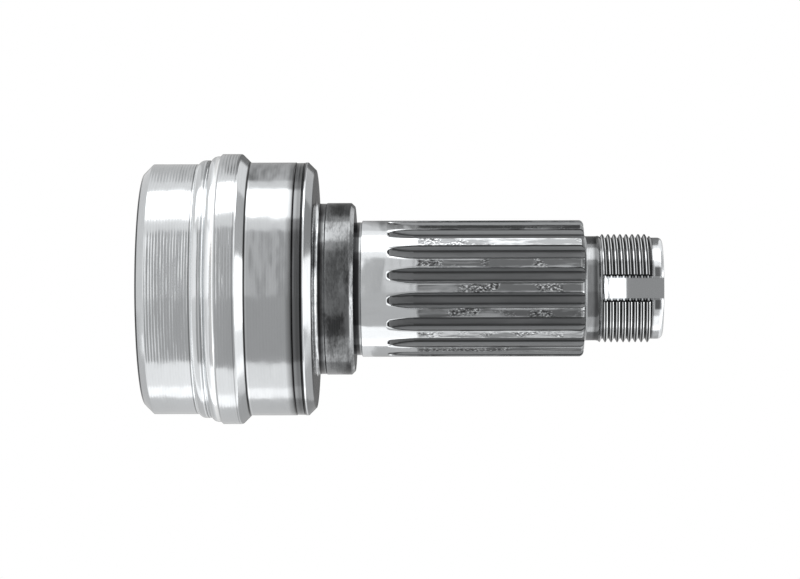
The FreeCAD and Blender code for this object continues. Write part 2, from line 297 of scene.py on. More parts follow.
# %% Build the bell
def bell_inside():
    """Outline rows (x, r) from the rim to the middle of the bottom. The rows of the tracks are
    spaced by a cosine, which bunches them towards both ends."""
    probe = np.linspace(x_mouth, seat_r, 4000)
    cut = probe[track_half_width(probe) > 0]
    x_seat = x_mouth + cone_depth
    first, last = cut[0] - 0.004, cut[-1] + 0.004
    eased = (1 - np.cos(np.linspace(0, math.pi, 70))) / 2
    x_track = np.sort(np.append(first + (last - first) * eased, x_seat))
    x_back = np.linspace(last, x_seat_end, 8)[1:]
    r_back = seat_radius(x_back[-1:])[0]
    x_bottom = x_seat_end + bottom_depth
    bottom = rounded([(x_seat_end, r_back, 0), (x_seat_end + r_back - bottom_r, bottom_r, 0.6),
                      (x_bottom, bottom_r, 2.5), (x_bottom, 0, 0)], steps=8)
    x = np.concatenate([[x_mouth + 0.6], x_track, x_back, bottom[1:, 0]])
    r = np.concatenate([seat_radius(x[:1]), seat_radius(x_track), seat_radius(x_back), bottom[1:, 1]])
    print("track from", round(first, 2), "to", round(last, 2))
    return x, r


def bell_points(in_track=24, between=40):
    """Grid of the whole bell. In a track the side distance goes evenly from edge to edge by angle
    of the tube; between tracks the angle goes evenly from one edge to the next."""
    outside = bell_outside()
    x_in, r_in = bell_inside()
    x = np.concatenate([outside[:, 0], x_in])[:, None]
    r = np.concatenate([outside[:, 1], r_in])[:, None]
    width = np.concatenate([np.zeros(len(outside)), track_half_width(x_in)])
    width[x[:, 0] > x_seat_end] = 0
    width = width[:, None]
    tube_angle = np.arcsin(np.clip(width / track_r, 0, 1))
    side = track_r * np.sin(tube_angle * np.linspace(-1, 1, in_track, endpoint=False)[None, :])
    height = np.where(width > 0, track_height(x, side), r)
    edge = np.arcsin(np.clip(width / r.clip(1e-6), 0, 1))
    sector = 2 * math.pi / ball_count
    land_angles = edge + (sector - 2 * edge) * np.arange(between)[None, :] / between
    angles, radii = all_round((np.arctan2(side, height), np.hypot(side, height)),
                              (land_angles, np.broadcast_to(r, land_angles.shape)), ball_count)
    return polar(x, radii, angles)


bell = as_object("bell", bell_points())

# %% [markdown]
# ## The boss
# Between the bell and the splines sits a short boss that a seal runs on. It is a plain turned
# shape, so an outline turned about the axis is the right tool.

# %% Build the boss
def turned(outline, columns=192):
    """Surface of an outline (x, r) turned about the X axis in even steps."""
    angle = np.linspace(0, 2 * math.pi, columns, endpoint=False)[None, :]
    return polar(outline[:, :1], outline[:, 1:], angle)


boss = as_object("boss", turned(rounded([
    (x_shoulder - 2.0, 0, 0),
    (x_shoulder - 2.0, foot_r, 0),
    (x_foot, foot_r, 0),
    (x_foot + 0.08, boss_r - 0.07, 0.9),
    (x_boss + 0.2, boss_r - 0.15, 0.1),
    (x_boss + 1.3, boss_r - 0.15, 0.2),
    (x_boss + 1.6, boss_r, 0.2),
    (x_boss_end - 0.9, boss_r, 0.35),
    (x_boss_end, boss_r - 0.9, 0.3),
    (x_boss_end, undercut_r - 1.5, 0),
    (x_boss_end, 0, 0),
])))

# %% [markdown]
# ## The splined shaft
# Seventeen tooth spaces are milled into the shaft. Their section has a flat floor, round feet and
# involute sides, and where the round cutter lifts out, the same section rises until it leaves the
# metal. That is all a run-out is, so each row only needs to know how far the cutter has lifted
# and how high the metal stands: the section is cut off at that height by its length along the
# outline, which numpy looks up for all rows at once.

# %% Outline of one tooth space
spline_teeth, spline_depth, fillet_r, cutter_r, edge_break = 17, 1.55, 0.55, 22.0, 0.13
root_r = stub_r - spline_depth
tooth_turn = math.radians(-0.5)
spline_run_out = math.sqrt(2 * cutter_r * spline_depth - spline_depth ** 2)
end_bevel, tip_rows_len, tip_len = 1.1, 0.9, 5.2


def involute_space(r):
    """Half the angle of a tooth space at radius r, with 30 degree sides that share the pitch
    evenly halfway up the tooth."""
    pitch_r = (root_r + stub_r) / 2
    base_r = pitch_r * math.cos(math.radians(30))

    def inv(radius):
        slope = np.arccos(base_r / radius)
        return np.tan(slope) - slope

    return math.pi / (2 * spline_teeth) - inv(pitch_r) + inv(r)


def half_space_outline():
    """Width and height over the floor along half a tooth space, from the middle of its floor."""
    base_r = (root_r + stub_r) / 2 * math.cos(math.radians(30))
    lean = math.acos(base_r / root_r) + float(involute_space(root_r))
    r_side = np.linspace(root_r + fillet_r * (1 - math.sin(lean)), stub_r + 0.5, 40)
    side_w = r_side * np.sin(involute_space(r_side))
    side_h = r_side * np.cos(involute_space(r_side)) - root_r
    floor_w = side_w[0] - fillet_r * math.cos(lean)
    swing = np.linspace(math.pi / 2, lean, 10)
    foot_w = floor_w + fillet_r * np.cos(swing)
    foot_h = side_h[0] - fillet_r * (np.sin(swing) - math.sin(lean))
    width = np.concatenate([[0], foot_w, side_w[1:]])
    height = np.concatenate([[foot_h[0]], foot_h, side_h[1:]])
    return width, height - height[0]


# %% [markdown]
# Along the shaft the rows stand close where a space begins and where its end is rounded, and far
# apart between.

# %% Rows of the splined shaft
def shaft_rows():
    """Rows (x, top radius, lift of the cutter) along the shaft; a lift past the spline's depth is
    no groove. The lift follows the cutter's circle: cutter_r less the root of (cutter_r squared
    less the squared distance from where full depth ends)."""
    start = rounded([(x_boss_end - 0.5, 0, 0), (x_boss_end - 0.5, undercut_r, 0),
                     (x_land, undercut_r, 0.12), (x_land, stub_r, 0.15),
                     (x_spline - 0.05, stub_r, 0)])
    tip = x_spline + tip_rows_len * np.linspace(0, 1, 10) ** 2
    climb = np.linspace(x_spline + tip_rows_len, x_spline + spline_run_out, 34)[1:]
    straight = np.linspace(x_spline + spline_run_out, x_spline_end - end_bevel, 10)[1:]
    swing = np.linspace(0, math.pi / 2, 10)[1:]
    x_body = np.concatenate([tip, climb, straight])
    x = np.concatenate([start[:, 0], x_body, x_spline_end - end_bevel + end_bevel * np.sin(swing)])
    top = np.concatenate([start[:, 1], np.full(len(x_body), stub_r),
                          stub_r - end_bevel + end_bevel * np.cos(swing)])
    back = np.clip(x_spline + spline_run_out - x, 0, spline_run_out)
    lift = cutter_r - np.sqrt(cutter_r ** 2 - back ** 2)
    lift[:len(start)] = spline_depth + 1
    return x, top, lift


# %% [markdown]
# The finish later needs to know where each point sits in the tooth spaces, so every point gets
# four marks; most of them place painted highlight and shade. They come from the same numbers as
# the shape, and so they fit it exactly.

# %% Marks for the finish
def space_marks(x, side, rise, from_top, left, half_width, on_tooth):
    """Marks from 0 to 1 for every point of the shaft: cut is milled metal, whose dark ends in a point
    at a space's tip because the run-out's sides there keep the lighter grey of the tops, a painted
    highlight; the second mark is the edge of a tooth, where a highlight is painted; flank the side of
    a space, painted lighter against its shade; and foot the line where that side meets the floor,
    painted as a dark line of shade. The last two rows, the end face, have none."""
    deep_from, blur, edge_highlight_width = 0.35, 0.15, 0.3
    from_tip = np.clip((x - x_spline) / tip_len, 0, 1)[:, None]
    beside_tip = np.clip((side - np.sqrt(from_tip) * half_width.max()) / blur + 0.5, 0, 1)
    grooved = left >= 0
    in_space = {
        # Milled metal; near a space's tip its sides are left out, so they keep the lighter grey of the
        # tops, a painted highlight.
        "cut": np.clip(from_top / deep_from, 0, 1) * (1 - beside_tip * (from_tip < 1)),
        # Painted highlight: the edge of a tooth.
        "tooth_edge_highlight": np.clip(1 - (half_width - side) / edge_highlight_width, 0, 1) * grooved,
        # Painted light: the side of a space.
        "flank": np.clip((rise - 0.22) / 0.15, 0, 1) * np.clip((from_top - 0.1) / 0.1, 0, 1),
        # Painted shade: the line where a side meets the floor.
        "foot": np.exp(-((rise - 0.1) / 0.12) ** 2) * (rise > 0.004) * (left > 0.5),
    }
    marks = {}
    for name, values in in_space.items():
        tooth = np.zeros((len(x), on_tooth))
        if name == "tooth_edge_highlight":
            tooth[:, [0, -1]] = grooved
        around = np.tile(np.concatenate([values, tooth], axis=1), (1, spline_teeth))
        marks[name] = np.concatenate([around, np.zeros((2, around.shape[1]))])
    return marks


# %% [markdown]
# With rows, outline and marks at hand the grid is short. A row's tooth space is the outline up to
# the height of metal that is left above the lifted floor.

# %% Build the splined shaft
def shaft_points(in_space=18, on_tooth=9):
    """Grid of the splined shaft and its marks. The columns of a space share the length of its
    outline, less a small broken edge, and the columns of a tooth share the angle between them."""
    width, height = half_space_outline()
    along = np.concatenate([[0], np.cumsum(np.hypot(np.diff(width), np.diff(height)))])
    x, top, lift = shaft_rows()
    left = top - root_r - lift
    grooved = left >= -1e-9
    left = np.maximum(left, 0)
    edge = np.minimum(edge_break, 0.4 * left)
    reach = np.interp(left - edge, height[1:], along[1:]) * grooved
    half_width = np.interp(left, height[1:], width[1:]) * grooved
    share = np.linspace(-1, 1, in_space)[None, :]
    place = np.abs(share) * reach[:, None]
    side = np.interp(place, along, width) * np.sign(share)
    rise = np.interp(place, along, height)
    up = np.where(grooved[:, None], (root_r + lift)[:, None] + rise, top[:, None])
    up = np.minimum(up, np.sqrt(np.maximum(top[:, None] ** 2 - side ** 2, 0)))
    space_radii = np.hypot(side, up)
    pitch = 2 * math.pi / spline_teeth
    first = (half_width + edge * 0.9) / np.maximum(top, 1e-6)
    first = np.where(top > 1, first, 0)[:, None]
    tooth_angles = first + (pitch - 2 * first) * np.linspace(0, 1, on_tooth)[None, :]
    tooth_radii = np.broadcast_to(top[:, None], tooth_angles.shape)
    angles, radii = all_round((np.arctan2(side, up), space_radii), (tooth_angles, tooth_radii),
                              spline_teeth)
    angles = angles + math.pi + pitch / 2 + tooth_turn
    body = polar(x[:, None], radii, angles)
    face = polar(x_spline_end, np.full((1, 1), neck_r - 0.6), angles[-1:])
    pole = polar(x_spline_end, np.zeros((1, 1)), angles[-1:])
    marks = space_marks(x, np.abs(side), rise, top[:, None] - space_radii,
                        np.where(grooved, left, -1)[:, None], half_width[:, None], on_tooth)
    return np.concatenate([body, face, pole]), marks


shaft_grid, shaft_marks = shaft_points()
shaft = as_object("splined_shaft", shaft_grid, **shaft_marks)

# %% [markdown]
# ## The threaded end
# A thread drawn on a straight grid looks ragged, because its crests cross the rows. Here each row
# keeps its place in the thread's section and climbs one pitch in a full turn, so crests and roots
# are rows of the mesh. Row j at the end of the turn meets row j + rows_per_pitch at its start, and
# the merge joins them. The keyway is made the same way: its two walls are columns of their own,
# at a fixed distance from the middle plane, and its floor cuts the height of the columns between.

# %% Section of the thread
thread_pitch, rows_per_pitch = 1.5, 12
thread_depth = 0.6134 * thread_pitch
key_half, key_floor, key_len, key_cutter_r = 2.5, thread_r - 2.2, 15.4, 14.0
face_r, drill_r, cone_top_r = key_floor - 0.25, 1.6, 4.0


def thread_section(phase):
    """Radius over one pitch: an eighth of the pitch flat at the crest, 60 degree sides, and a
    root rounded by a sine over its last quarter."""
    flank = thread_depth * math.tan(math.radians(30)) / thread_pitch
    away = np.abs((phase + 0.5) % 1 - 0.5)
    down = np.clip((away - 1 / 16) / flank, 0, 1)
    soft = np.where(down > 0.85, 0.85 + 0.15 * np.sin((down - 0.85) / 0.15 * math.pi / 2), down)
    return thread_r - thread_depth * soft


def key_height(x):
    """Height of the keyway's floor over the axis plane: flat, with the disc cutter's round."""
    rise = thread_r - key_floor
    run_out = math.sqrt(2 * key_cutter_r * rise - rise ** 2)
    back = np.clip(x_end - key_len + run_out - x, 0, key_cutter_r)
    return key_floor + key_cutter_r - np.sqrt(np.maximum(key_cutter_r ** 2 - back ** 2, 0))


def thread_radius(x, phase):
    """Thread section held between a cone at each end and the lift of the tool at the neck."""
    root_slope, neck_slope, end_slope = 0.45, 0.8, 1.3
    low = np.maximum(neck_r - (x - x_thread) * root_slope, thread_r - thread_depth)
    low = np.where(x > x_thread_end - 1e-6, pilot_r, np.minimum(low, neck_r))
    high = np.minimum(neck_r + (x - x_thread) * neck_slope, pilot_r + (x_thread_end - x) * end_slope)
    return np.clip(thread_section(phase), low, np.maximum(np.minimum(high, thread_r), low))


# %% [markdown]
# The rows before and behind the thread are plain turned ones, and their phase is left open. The
# end face has the centre drilling with its 60 degree cone.

# %% Rows of the threaded end
def thread_end_rows():
    """Rows before, in and after the thread: (x at the keyway's side, radius, phase or nan)."""
    before = rounded([(x_spline_end - 1, 0, 0), (x_spline_end - 1, neck_r + 0.5, 0),
                      (x_spline_end + 0.02, neck_r + 0.5, 0.0), (x_spline_end + 0.5, neck_r - 0.1, 0.5),
                      (x_thread - 0.5, neck_r - 0.1, 0.5), (x_thread, neck_r, 0)])
    count = int((x_thread_end - x_thread) / thread_pitch + 2) * rows_per_pitch
    steps = np.arange(-rows_per_pitch, count)
    x_mid = x_thread + (steps / rows_per_pitch) * thread_pitch
    swing = np.linspace(0, math.pi / 2, 10)
    arc = np.stack([x_end - end_round * (1 - np.sin(swing)),
                    pilot_r - end_round * (1 - np.cos(swing))], axis=1)
    after = np.vstack([[x_thread_end, pilot_r], arc])
    cone_run = (cone_top_r - drill_r) / math.tan(math.radians(30))
    face = rounded([(x_end, face_r, 0), (x_end, cone_top_r + 0.3, 0), (x_end, cone_top_r, 0.15),
                    (x_end - cone_run, drill_r, 0.2), (x_end - 7.0, drill_r, 0),
                    (x_end - 7.9, 0, 0)])
    x = np.concatenate([before[:, 0], x_mid, after[:, 0], face[:, 0]])
    r = np.concatenate([before[:, 1], np.full(len(x_mid), thread_r), after[:, 1], face[:, 1]])
    phase = np.concatenate([np.full(len(before), np.nan), (steps % rows_per_pitch) / rows_per_pitch,
                            np.full(len(after) + len(face), np.nan)])
    return x, r, phase


# %% [markdown]
# Opposite the keyway the turn closes with two columns at the same place, one on each side. The
# quads between these two are left out, and the merge joins the rows one pitch apart.

# %% Build the threaded end
def thread_end_points(key_columns=8, around=150):
    """Grid of neck, thread, pilot and end face. The angle a is counted from the keyway at -Y; a
    threaded row climbs by pitch * a / (2 pi). Columns in the keyway keep their distance from the
    middle plane, so their angle depends on the radius there and is found in four rounds; the
    others share the rest of the circle."""
    x_row, r_row, phase = thread_end_rows()
    threaded = ~np.isnan(phase)[:, None]
    key_side = key_half * np.concatenate([[-1], np.linspace(-1, 1, key_columns), [1]])[None, :]
    shrink = np.where(r_row > face_r - 0.05, 1.0, r_row / face_r)[:, None]

    def surface(angle):
        x = np.where(threaded, np.clip(x_row[:, None] + thread_pitch * angle / (2 * math.pi),
                                       x_thread, x_thread_end), x_row[:, None])
        r = np.where(threaded, thread_radius(x, np.nan_to_num(phase)[:, None]), r_row[:, None])
        return x, r

    key_angle = np.broadcast_to(np.arcsin(key_side / thread_r), (len(x_row), key_side.shape[1]))
    side = np.broadcast_to(key_side * shrink, key_angle.shape)
    for _ in range(4):
        x_key, r_key = surface(key_angle)
        key_angle = np.arcsin(np.clip(side / np.maximum(r_key, 1e-6), -1, 1))
    up = np.sqrt(np.maximum(r_key ** 2 - side ** 2, 0))
    floor = np.minimum(up, key_height(x_key))
    floor[:, 0] = up[:, 0]
    floor[:, -1] = up[:, -1]
    key_points = np.stack([x_key, -floor, -side], axis=-1)
    beside_key = math.asin(key_half / face_r)
    share = np.linspace(0, 1, around)[1:-1]
    rest_angle = beside_key + (2 * math.pi - 2 * beside_key) * share
    split = int(np.sum(rest_angle < math.pi))
    wrapped = np.where(np.arange(around - 2) < split, rest_angle, rest_angle - 2 * math.pi)
    wrapped = np.broadcast_to(wrapped, (len(x_row), around - 2))
    x_rest, r_rest = surface(wrapped)
    rest_points = polar(x_rest, r_rest, math.pi + wrapped)
    seam_x, seam_r = surface(np.full((len(x_row), 2), math.pi) * np.array([[1, -1]]))
    seam = polar(seam_x, seam_r, np.zeros_like(seam_x))
    points = np.concatenate([key_points, rest_points[:, :split], seam, rest_points[:, split:]], axis=1)
    away = np.hypot(points[..., 1], points[..., 2])
    in_thread = np.clip(np.minimum((points[..., 0] - x_thread - 0.35) / 0.5,
                                   (x_thread_end - points[..., 0]) / 0.12), 0, 1)
    deep = np.clip((thread_r - away) / thread_depth, 0, 1)
    in_key = np.zeros(deep.shape)
    in_key[:, :key_side.shape[1]] = (x_key > x_end - key_len + 0.3) & (floor > key_floor - 0.3)
    left = np.broadcast_to(np.nan_to_num(phase)[:, None] > 0.5, deep.shape)
    marks = {"cut": deep, "threaded": in_thread, "key": in_key, "left": left}
    return points, key_side.shape[1] + split, marks


thread_grid, seam_column, thread_marks = thread_end_points()
thread_faces = grid_faces(*thread_grid.shape[:2])
quad_column = thread_faces[:, 0] % thread_grid.shape[1]
thread_faces = thread_faces[quad_column != seam_column]
thread_end = as_object("threaded_end", thread_grid, thread_faces, 35.0, **thread_marks)

# %% [markdown]
# All four pieces are skins of the one forging: they ride on its body and stand in for its plain
# solid.

# %% Ride the new pieces and replace the plain forging
for piece in (bell, boss, shaft, thread_end):
    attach(piece, "outer_race")
    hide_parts("outer_race")
    print(piece.name, "rides on outer_race")

# %% [markdown]
# ## Steel, in several finishes
# Bare steel shows how it was cut. A turned face has fine rings round the axis, a milled one runs
# along it, and ground or rolled faces are almost mirrors. The rings are worked out from Object
# coordinates, so they stay on the metal when the joint moves. Effects that several finishes share
# are node groups that put out plain values; the shader itself stays in each material.

# %% Node helpers
def plug(tree, made, **inputs):
    """Gives a node's sockets values or links; a name that isn't a socket's is one of the node's
    settings. in_0 is its first socket."""
    for name, value in inputs.items():
        key = int(name[3:]) if name.startswith("in_") else name.replace("_", " ")
        if name.startswith("in_") or key in made.inputs:
            if isinstance(value, bpy.types.NodeSocket):
                tree.links.new(value, made.inputs[key])
            else:
                made.inputs[key].default_value = value
        else:
            setattr(made, name, value)
    return made


def node(tree, kind, **inputs):
    """New shader node with what is plugged into it."""
    return plug(tree, tree.nodes.new("ShaderNode" + kind), **inputs)


def maths(tree, operation, first, second=0.0, third=0.0, clamp=False):
    """One Math node's output."""
    return node(tree, "Math", operation=operation, in_0=first, in_1=second, in_2=third,
                use_clamp=clamp).outputs[0]


def product(tree, first, *others):
    """Product of two or more values."""
    for other in others:
        first = maths(tree, "MULTIPLY", first, other)
    return first


def vector(tree, operation, first, second=(0, 0, 0), output="Vector", **inputs):
    """One Vector Math node's output."""
    return node(tree, "VectorMath", operation=operation, in_0=first, in_1=second,
                **inputs).outputs[output]


def own_mark(tree, name):
    """One of the marks that were stored with the piece's points."""
    return node(tree, "Attribute", attribute_name=name).outputs["Fac"]


def span(tree, value, low, high, to_low=0.0, to_high=1.0, kind="LINEAR"):
    """Value carried from low..high to to_low..to_high, held at both ends."""
    return node(tree, "MapRange", Value=value, From_Min=low, From_Max=high,
                To_Min=to_low, To_Max=to_high, interpolation_type=kind).outputs[0]


def stretched_noise(tree, coords, scale, detail=3.0, distortion=0.0):
    """Noise with its own scale on each axis."""
    moved = node(tree, "Mapping", Vector=coords, Scale=scale).outputs[0]
    return node(tree, "TexNoise", Vector=moved, Scale=1.0, Detail=detail,
                Roughness=0.6, Distortion=distortion).outputs["Fac"]


def new_group(name, vectors, values, outputs):
    """Node group with its input and output node. vectors and outputs name sockets, values are
    named inputs with their defaults."""
    tree = bpy.data.node_groups.new(name, "ShaderNodeTree")
    for label in vectors:
        tree.interface.new_socket(name=label, in_out="INPUT", socket_type="NodeSocketVector")
    for label, value in values.items():
        tree.interface.new_socket(name=label, in_out="INPUT",
                                  socket_type="NodeSocketFloat").default_value = value
    for label in outputs:
        tree.interface.new_socket(name=label, in_out="OUTPUT", socket_type="NodeSocketFloat")
    return tree, tree.nodes.new("NodeGroupInput"), tree.nodes.new("NodeGroupOutput")


# %% [markdown]
# A turning tool leaves a wave along the axis, one crest per feed. Noise shifts its phase a little,
# since no two rings are alike.

# %% Group: marks of the lathe
def lathe_marks_group():
    """Rings left by a turning tool. Feed is the distance between two rings in metres, Wander how
    uneven they are. Height is for a Bump node; Shade is 1 in a ring's bottom."""
    tree, given, put = new_group("lathe_marks", ("Vector",), {"Feed": 0.0008, "Wander": 0.5},
                                 ("Height", "Shade"))
    coords = given.outputs["Vector"]
    x = node(tree, "SeparateXYZ", Vector=coords).outputs[0]
    drift = stretched_noise(tree, coords, (260.0, 14.0, 14.0), 2.0)
    turns = maths(tree, "DIVIDE", x, given.outputs["Feed"])
    phase = maths(tree, "MULTIPLY_ADD", drift, given.outputs["Wander"], turns)
    wave = maths(tree, "SINE", product(tree, phase, 2 * math.pi))
    ring = maths(tree, "MULTIPLY_ADD", wave, 0.5, 0.5)
    fine = stretched_noise(tree, coords, (5200.0, 9.0, 9.0))
    height = maths(tree, "MULTIPLY_ADD", ring, 0.65, product(tree, fine, 0.35))
    shade = product(tree, maths(tree, "POWER", ring, 3.0), maths(tree, "ADD", fine, 0.25))
    plug(tree, put, Height=height, Shade=shade)
    return tree


# %% [markdown]
# Stains are slow noise with fine specks over it. Dividing the coordinates by a stretch for each
# axis draws them out along the cut.

# %% Group: stains that follow the tool
def stains_group():
    """Uneven sheen from oil, heat and handling, drawn out along the way the surface was cut.
    Size is a stain's width in metres and Draw its stretch on each axis; Value wanders about 0.5."""
    tree, given, put = new_group("stains", ("Vector", "Draw"), {"Size": 0.012}, ("Value",))
    drawn = vector(tree, "DIVIDE", given.outputs["Vector"], given.outputs["Draw"])
    scale = maths(tree, "DIVIDE", 1.0, given.outputs["Size"])
    slow = node(tree, "TexNoise", Vector=drawn, Scale=scale, Detail=4.0,
                Roughness=0.55, Distortion=0.5).outputs["Fac"]
    specks = node(tree, "TexNoise", Vector=drawn, Scale=product(tree, scale, 9.0),
                  Detail=3.0, Roughness=0.7).outputs["Fac"]
    plug(tree, put, Value=maths(tree, "MULTIPLY_ADD", slow, 0.72, product(tree, specks, 0.28)))
    return tree


lathe_marks = lathe_marks_group()
stains = stains_group()
print("groups", lathe_marks.name, stains.name)

# %% [markdown]
# A finish is then a short recipe: how bright the steel is, how dark its rings and stains get, how
# rough it is, and how deep the marks are. The same function mixes them all, so two finishes differ
# only in numbers, as they differ in the workshop only by tool and feed.

# %% The steel recipe
COOL = (0.975, 1.0, 1.02)
# Painted shade: towards grazing view the colour is mixed towards a near-black grey, an outline painted at
# every silhouette.
GRAZE_START, GRAZE_END, GRAZE_SHARE, GRAZE_SHADE_GREY, GRAZE_TINT = 0.87, 0.96, 0.9, 0.03, 0.85


def tinted(grey):
    """A grey as a colour of the steel's cool tint; a socket stays as it is."""
    return grey if isinstance(grey, bpy.types.NodeSocket) else (*[grey * c for c in COOL], 1)


def mixed_grey(tree, factor, first, second, blend="MIX"):
    """Colour between two greys or sockets. A Mix node's sockets 6 and 7 are its two colours."""
    return node(tree, "Mix", data_type="RGBA", blend_type=blend, in_0=factor, in_6=tinted(first),
                in_7=tinted(second)).outputs[2]


def steel(name, bright, dark, roughness, feed=0.0008, wander=0.5, marks=0.15, stain=0.3,
          size=0.012, draw=(0.25, 1.0, 1.0), relief=0.00001, wave=0.00003, spread=0.06, extra=None,
          cut_zones=None, rough_cut=None, bend=None):
    """Metal material. bright and dark are its two greys; marks and stain say how far rings and
    stains pull it to the dark one. roughness wanders by spread with the stains, and rough_cut, if
    given, takes its place where the piece is marked as cut. relief and wave are heights in metres
    of the rings and of the slow unevenness of the surface; cut_zones may scale the rings along
    the axis. extra(tree, colour, coords) may change the colour, and bend(tree, coords) may give
    the normal that the relief starts from. Towards grazing view the colour is painted darker, a
    painted shade that outlines the metal."""
    material = bpy.data.materials.new(name)
    material.use_nodes = True
    tree = material.node_tree
    shader = tree.nodes["Principled BSDF"]
    coords = node(tree, "TexCoord").outputs["Object"]
    rings = node(tree, "Group", node_tree=lathe_marks, Vector=coords, Feed=feed, Wander=wander)
    soil = node(tree, "Group", node_tree=stains, Vector=coords, Size=size, Draw=draw)
    stained = span(tree, soil.outputs["Value"], 0.44, 0.62, 0.0, stain)
    pull = maths(tree, "MULTIPLY_ADD", rings.outputs["Shade"], marks, stained, clamp=True)
    colour = mixed_grey(tree, pull, bright, dark)
    if extra:
        colour = extra(tree, colour, coords)
    # Painted shade: darker the more the view grazes the surface.
    facing = node(tree, "LayerWeight", Blend=0.5).outputs["Facing"]
    grazing = span(tree, facing, GRAZE_START, GRAZE_END, 0.0, GRAZE_SHARE)
    colour = mixed_grey(tree, grazing, colour, GRAZE_SHADE_GREY)
    sheen = span(tree, soil.outputs["Value"], 0.35, 0.7, roughness - spread / 2, roughness + spread)
    if rough_cut is not None:
        sheen = span(tree, own_mark(tree, "cut"), 0.0, 1.0, sheen, rough_cut)
    slow = stretched_noise(tree, coords, (150.0, 60.0, 60.0), 2.0)
    rolled = node(tree, "Bump", Strength=1.0, Distance=wave, Height=slow)
    if bend:
        plug(tree, rolled, Normal=bend(tree, coords))
    height = rings.outputs["Height"]
    if cut_zones:
        height = product(tree, height, along_axis(tree, coords, cut_zones, 0.0))
    cut = node(tree, "Bump", Strength=1.0, Distance=relief, Height=height,
               Normal=rolled.outputs[0])
    plug(tree, shader, Base_Color=colour, Metallic=1.0, Roughness=sheen, Normal=cut.outputs[0],
         Specular_Tint=(GRAZE_TINT, GRAZE_TINT, GRAZE_TINT, 1))
    return material


def dress(piece, material):
    """Gives a piece one material, whether it is new or came with the frame."""
    piece.data.materials.clear()
    piece.data.materials.append(material)


# %% [markdown]
# Along the axis a turned part changes abruptly, and these greys paint the light that goes with it:
# a painted highlight on a bevel or on a ridge's thin edge, painted shade in a corner. Such zones are
# lists of places and greys, and a colour ramp reads them.

# %% Zones along the axis
def near(x, *steps):
    """Zone steps (x, grey) from pairs of a distance from x and a grey."""
    return [(x + away, grey) for away, grey in steps]


def along_axis(tree, coords, zones, wobble):
    """Grey read along the axis from rising steps (x in millimetres, grey) with straight slopes
    between them; wobble is how far, in metres, a step's edge may stray round the part."""
    places = np.array([place for place, _ in zones]) * MM
    low, high = places[0], places[-1]
    ramp = node(tree, "ValToRGB")
    spots = ramp.color_ramp.elements
    while len(spots) < len(zones):
        spots.new(1.0)
    for spot, place, (_, grey) in zip(spots, places, zones):
        spot.position = (place - low) / (high - low)
        spot.color = (grey, grey, grey, 1)
    x = node(tree, "SeparateXYZ", Vector=coords).outputs[0]
    if wobble:
        stray = stretched_noise(tree, coords, (300.0, 90.0, 90.0), 2.0)
        x = maths(tree, "MULTIPLY_ADD", maths(tree, "SUBTRACT", stray, 0.5), wobble, x)
    return plug(tree, ramp, Fac=span(tree, x, low, high)).outputs["Color"]


def zoned(*lists, wobble=0.0003):
    """Change of colour that multiplies it by the greys read along the axis from each list. A list
    has at most 32 steps, which is all that a colour ramp holds."""
    def apply(tree, colour, coords):
        for zones in lists:
            grey = along_axis(tree, coords, zones, wobble)
            colour = mixed_grey(tree, 1.0, colour, grey, "MULTIPLY")
        return colour

    return apply


# Painted shade: a near-black line just past the rim's corner paints the dark outline of the bell's left
# edge.
rim_outline_shade = near(x_mouth, (0.08, 0.7), (0.13, 0.1), (0.38, 0.1), (0.55, 1.0))
# Painted highlight and shade: greys above 1 paint the bright crests, bevels and edges of the ridges and
# the flange; low greys paint shade on the rim bevel, in the notches, in the gap between the ridges and in
# the corners by the flange.
ridge_highlights_and_shade = (
    near(x_mouth + rim_bevel, (0, 0.84), (0.3, 0.95))
    + near(x_low, (-0.9, 1.0), (-0.6, 1.0), (-0.4, 0.25), (-0.2, 1.0), (-0.1, 1.5), (0.25, 1.4),
           (0.6, 0.85))
    + near(x_low_top, (-0.2, 0.9), (0, 1.5))
    + near(x_notch, (-0.7, 1.3), (-0.6, 0.5), (-0.5, 1.3), (-0.42, 1.3), (-0.3, 0.2),
           (-0.18, 1.3), (0, 1.5), (0.5, 0.95), (1.2, 0.88))
    + near(x_high_top, (-0.3, 1.2), (0, 1.55))
    + near(x_flange, (-0.4, 1.55), (-0.15, 0.6), (0.1, 0.8), (0.11, 0.95))
    + near(x_flange_end, (-0.7, 0.92), (-0.5, 0.5), (-0.3, 1.0)))
# A dark band of darker finish lies before the back edge. Painted shade: near-black lines in its grooves
# and in the corners at the flange's bevel and at the shoulder; painted highlight: greys above 1 on the
# back edge.
rear_band_and_shade = (
    near(x_rear, (-0.35, 1.0), (-0.15, 0.04), (0.1, 0.04), (0.35, 1.1), (0.7, 0.88))
    + near(x_rear_end, (-4.6, 0.88), (-3.9, 0.6), (-3.3, 0.4), (-2.95, 0.06), (-2.75, 0.1),
           (-2.4, 0.33), (-1.6, 0.2), (-1.0, 0.24), (-0.62, 0.03), (-0.42, 0.03), (-0.22, 1.3),
           (-0.05, 1.4), (0.15, 0.6))
    + near(x_shoulder, (-0.25, 0.6), (-0.12, 0.05), (0.02, 0.05), (0.05, 0.32)))
# The bell's colour is multiplied by these greys: painted highlight and shade, and the darker band.
bell_painted_light_and_band = zoned(rim_outline_shade, ridge_highlights_and_shade, rear_band_and_shade, wobble=0.00004)
bell_cut = (
    near(x_mouth + rim_bevel, (0, 0.0), (0.4, 1.0)) + near(x_low, (-0.4, 1.0), (0, 0.0))
    + near(x_flange, (-0.2, 0.0), (0.3, 1.0)) + near(x_flange_end, (-0.7, 1.0), (0, 0.0))
    + near(x_rear, (0.3, 0.08))
    + near(x_rear_end, (-3.6, 0.08), (-2.8, 0.5), (-0.8, 0.5), (0, 0.0)))
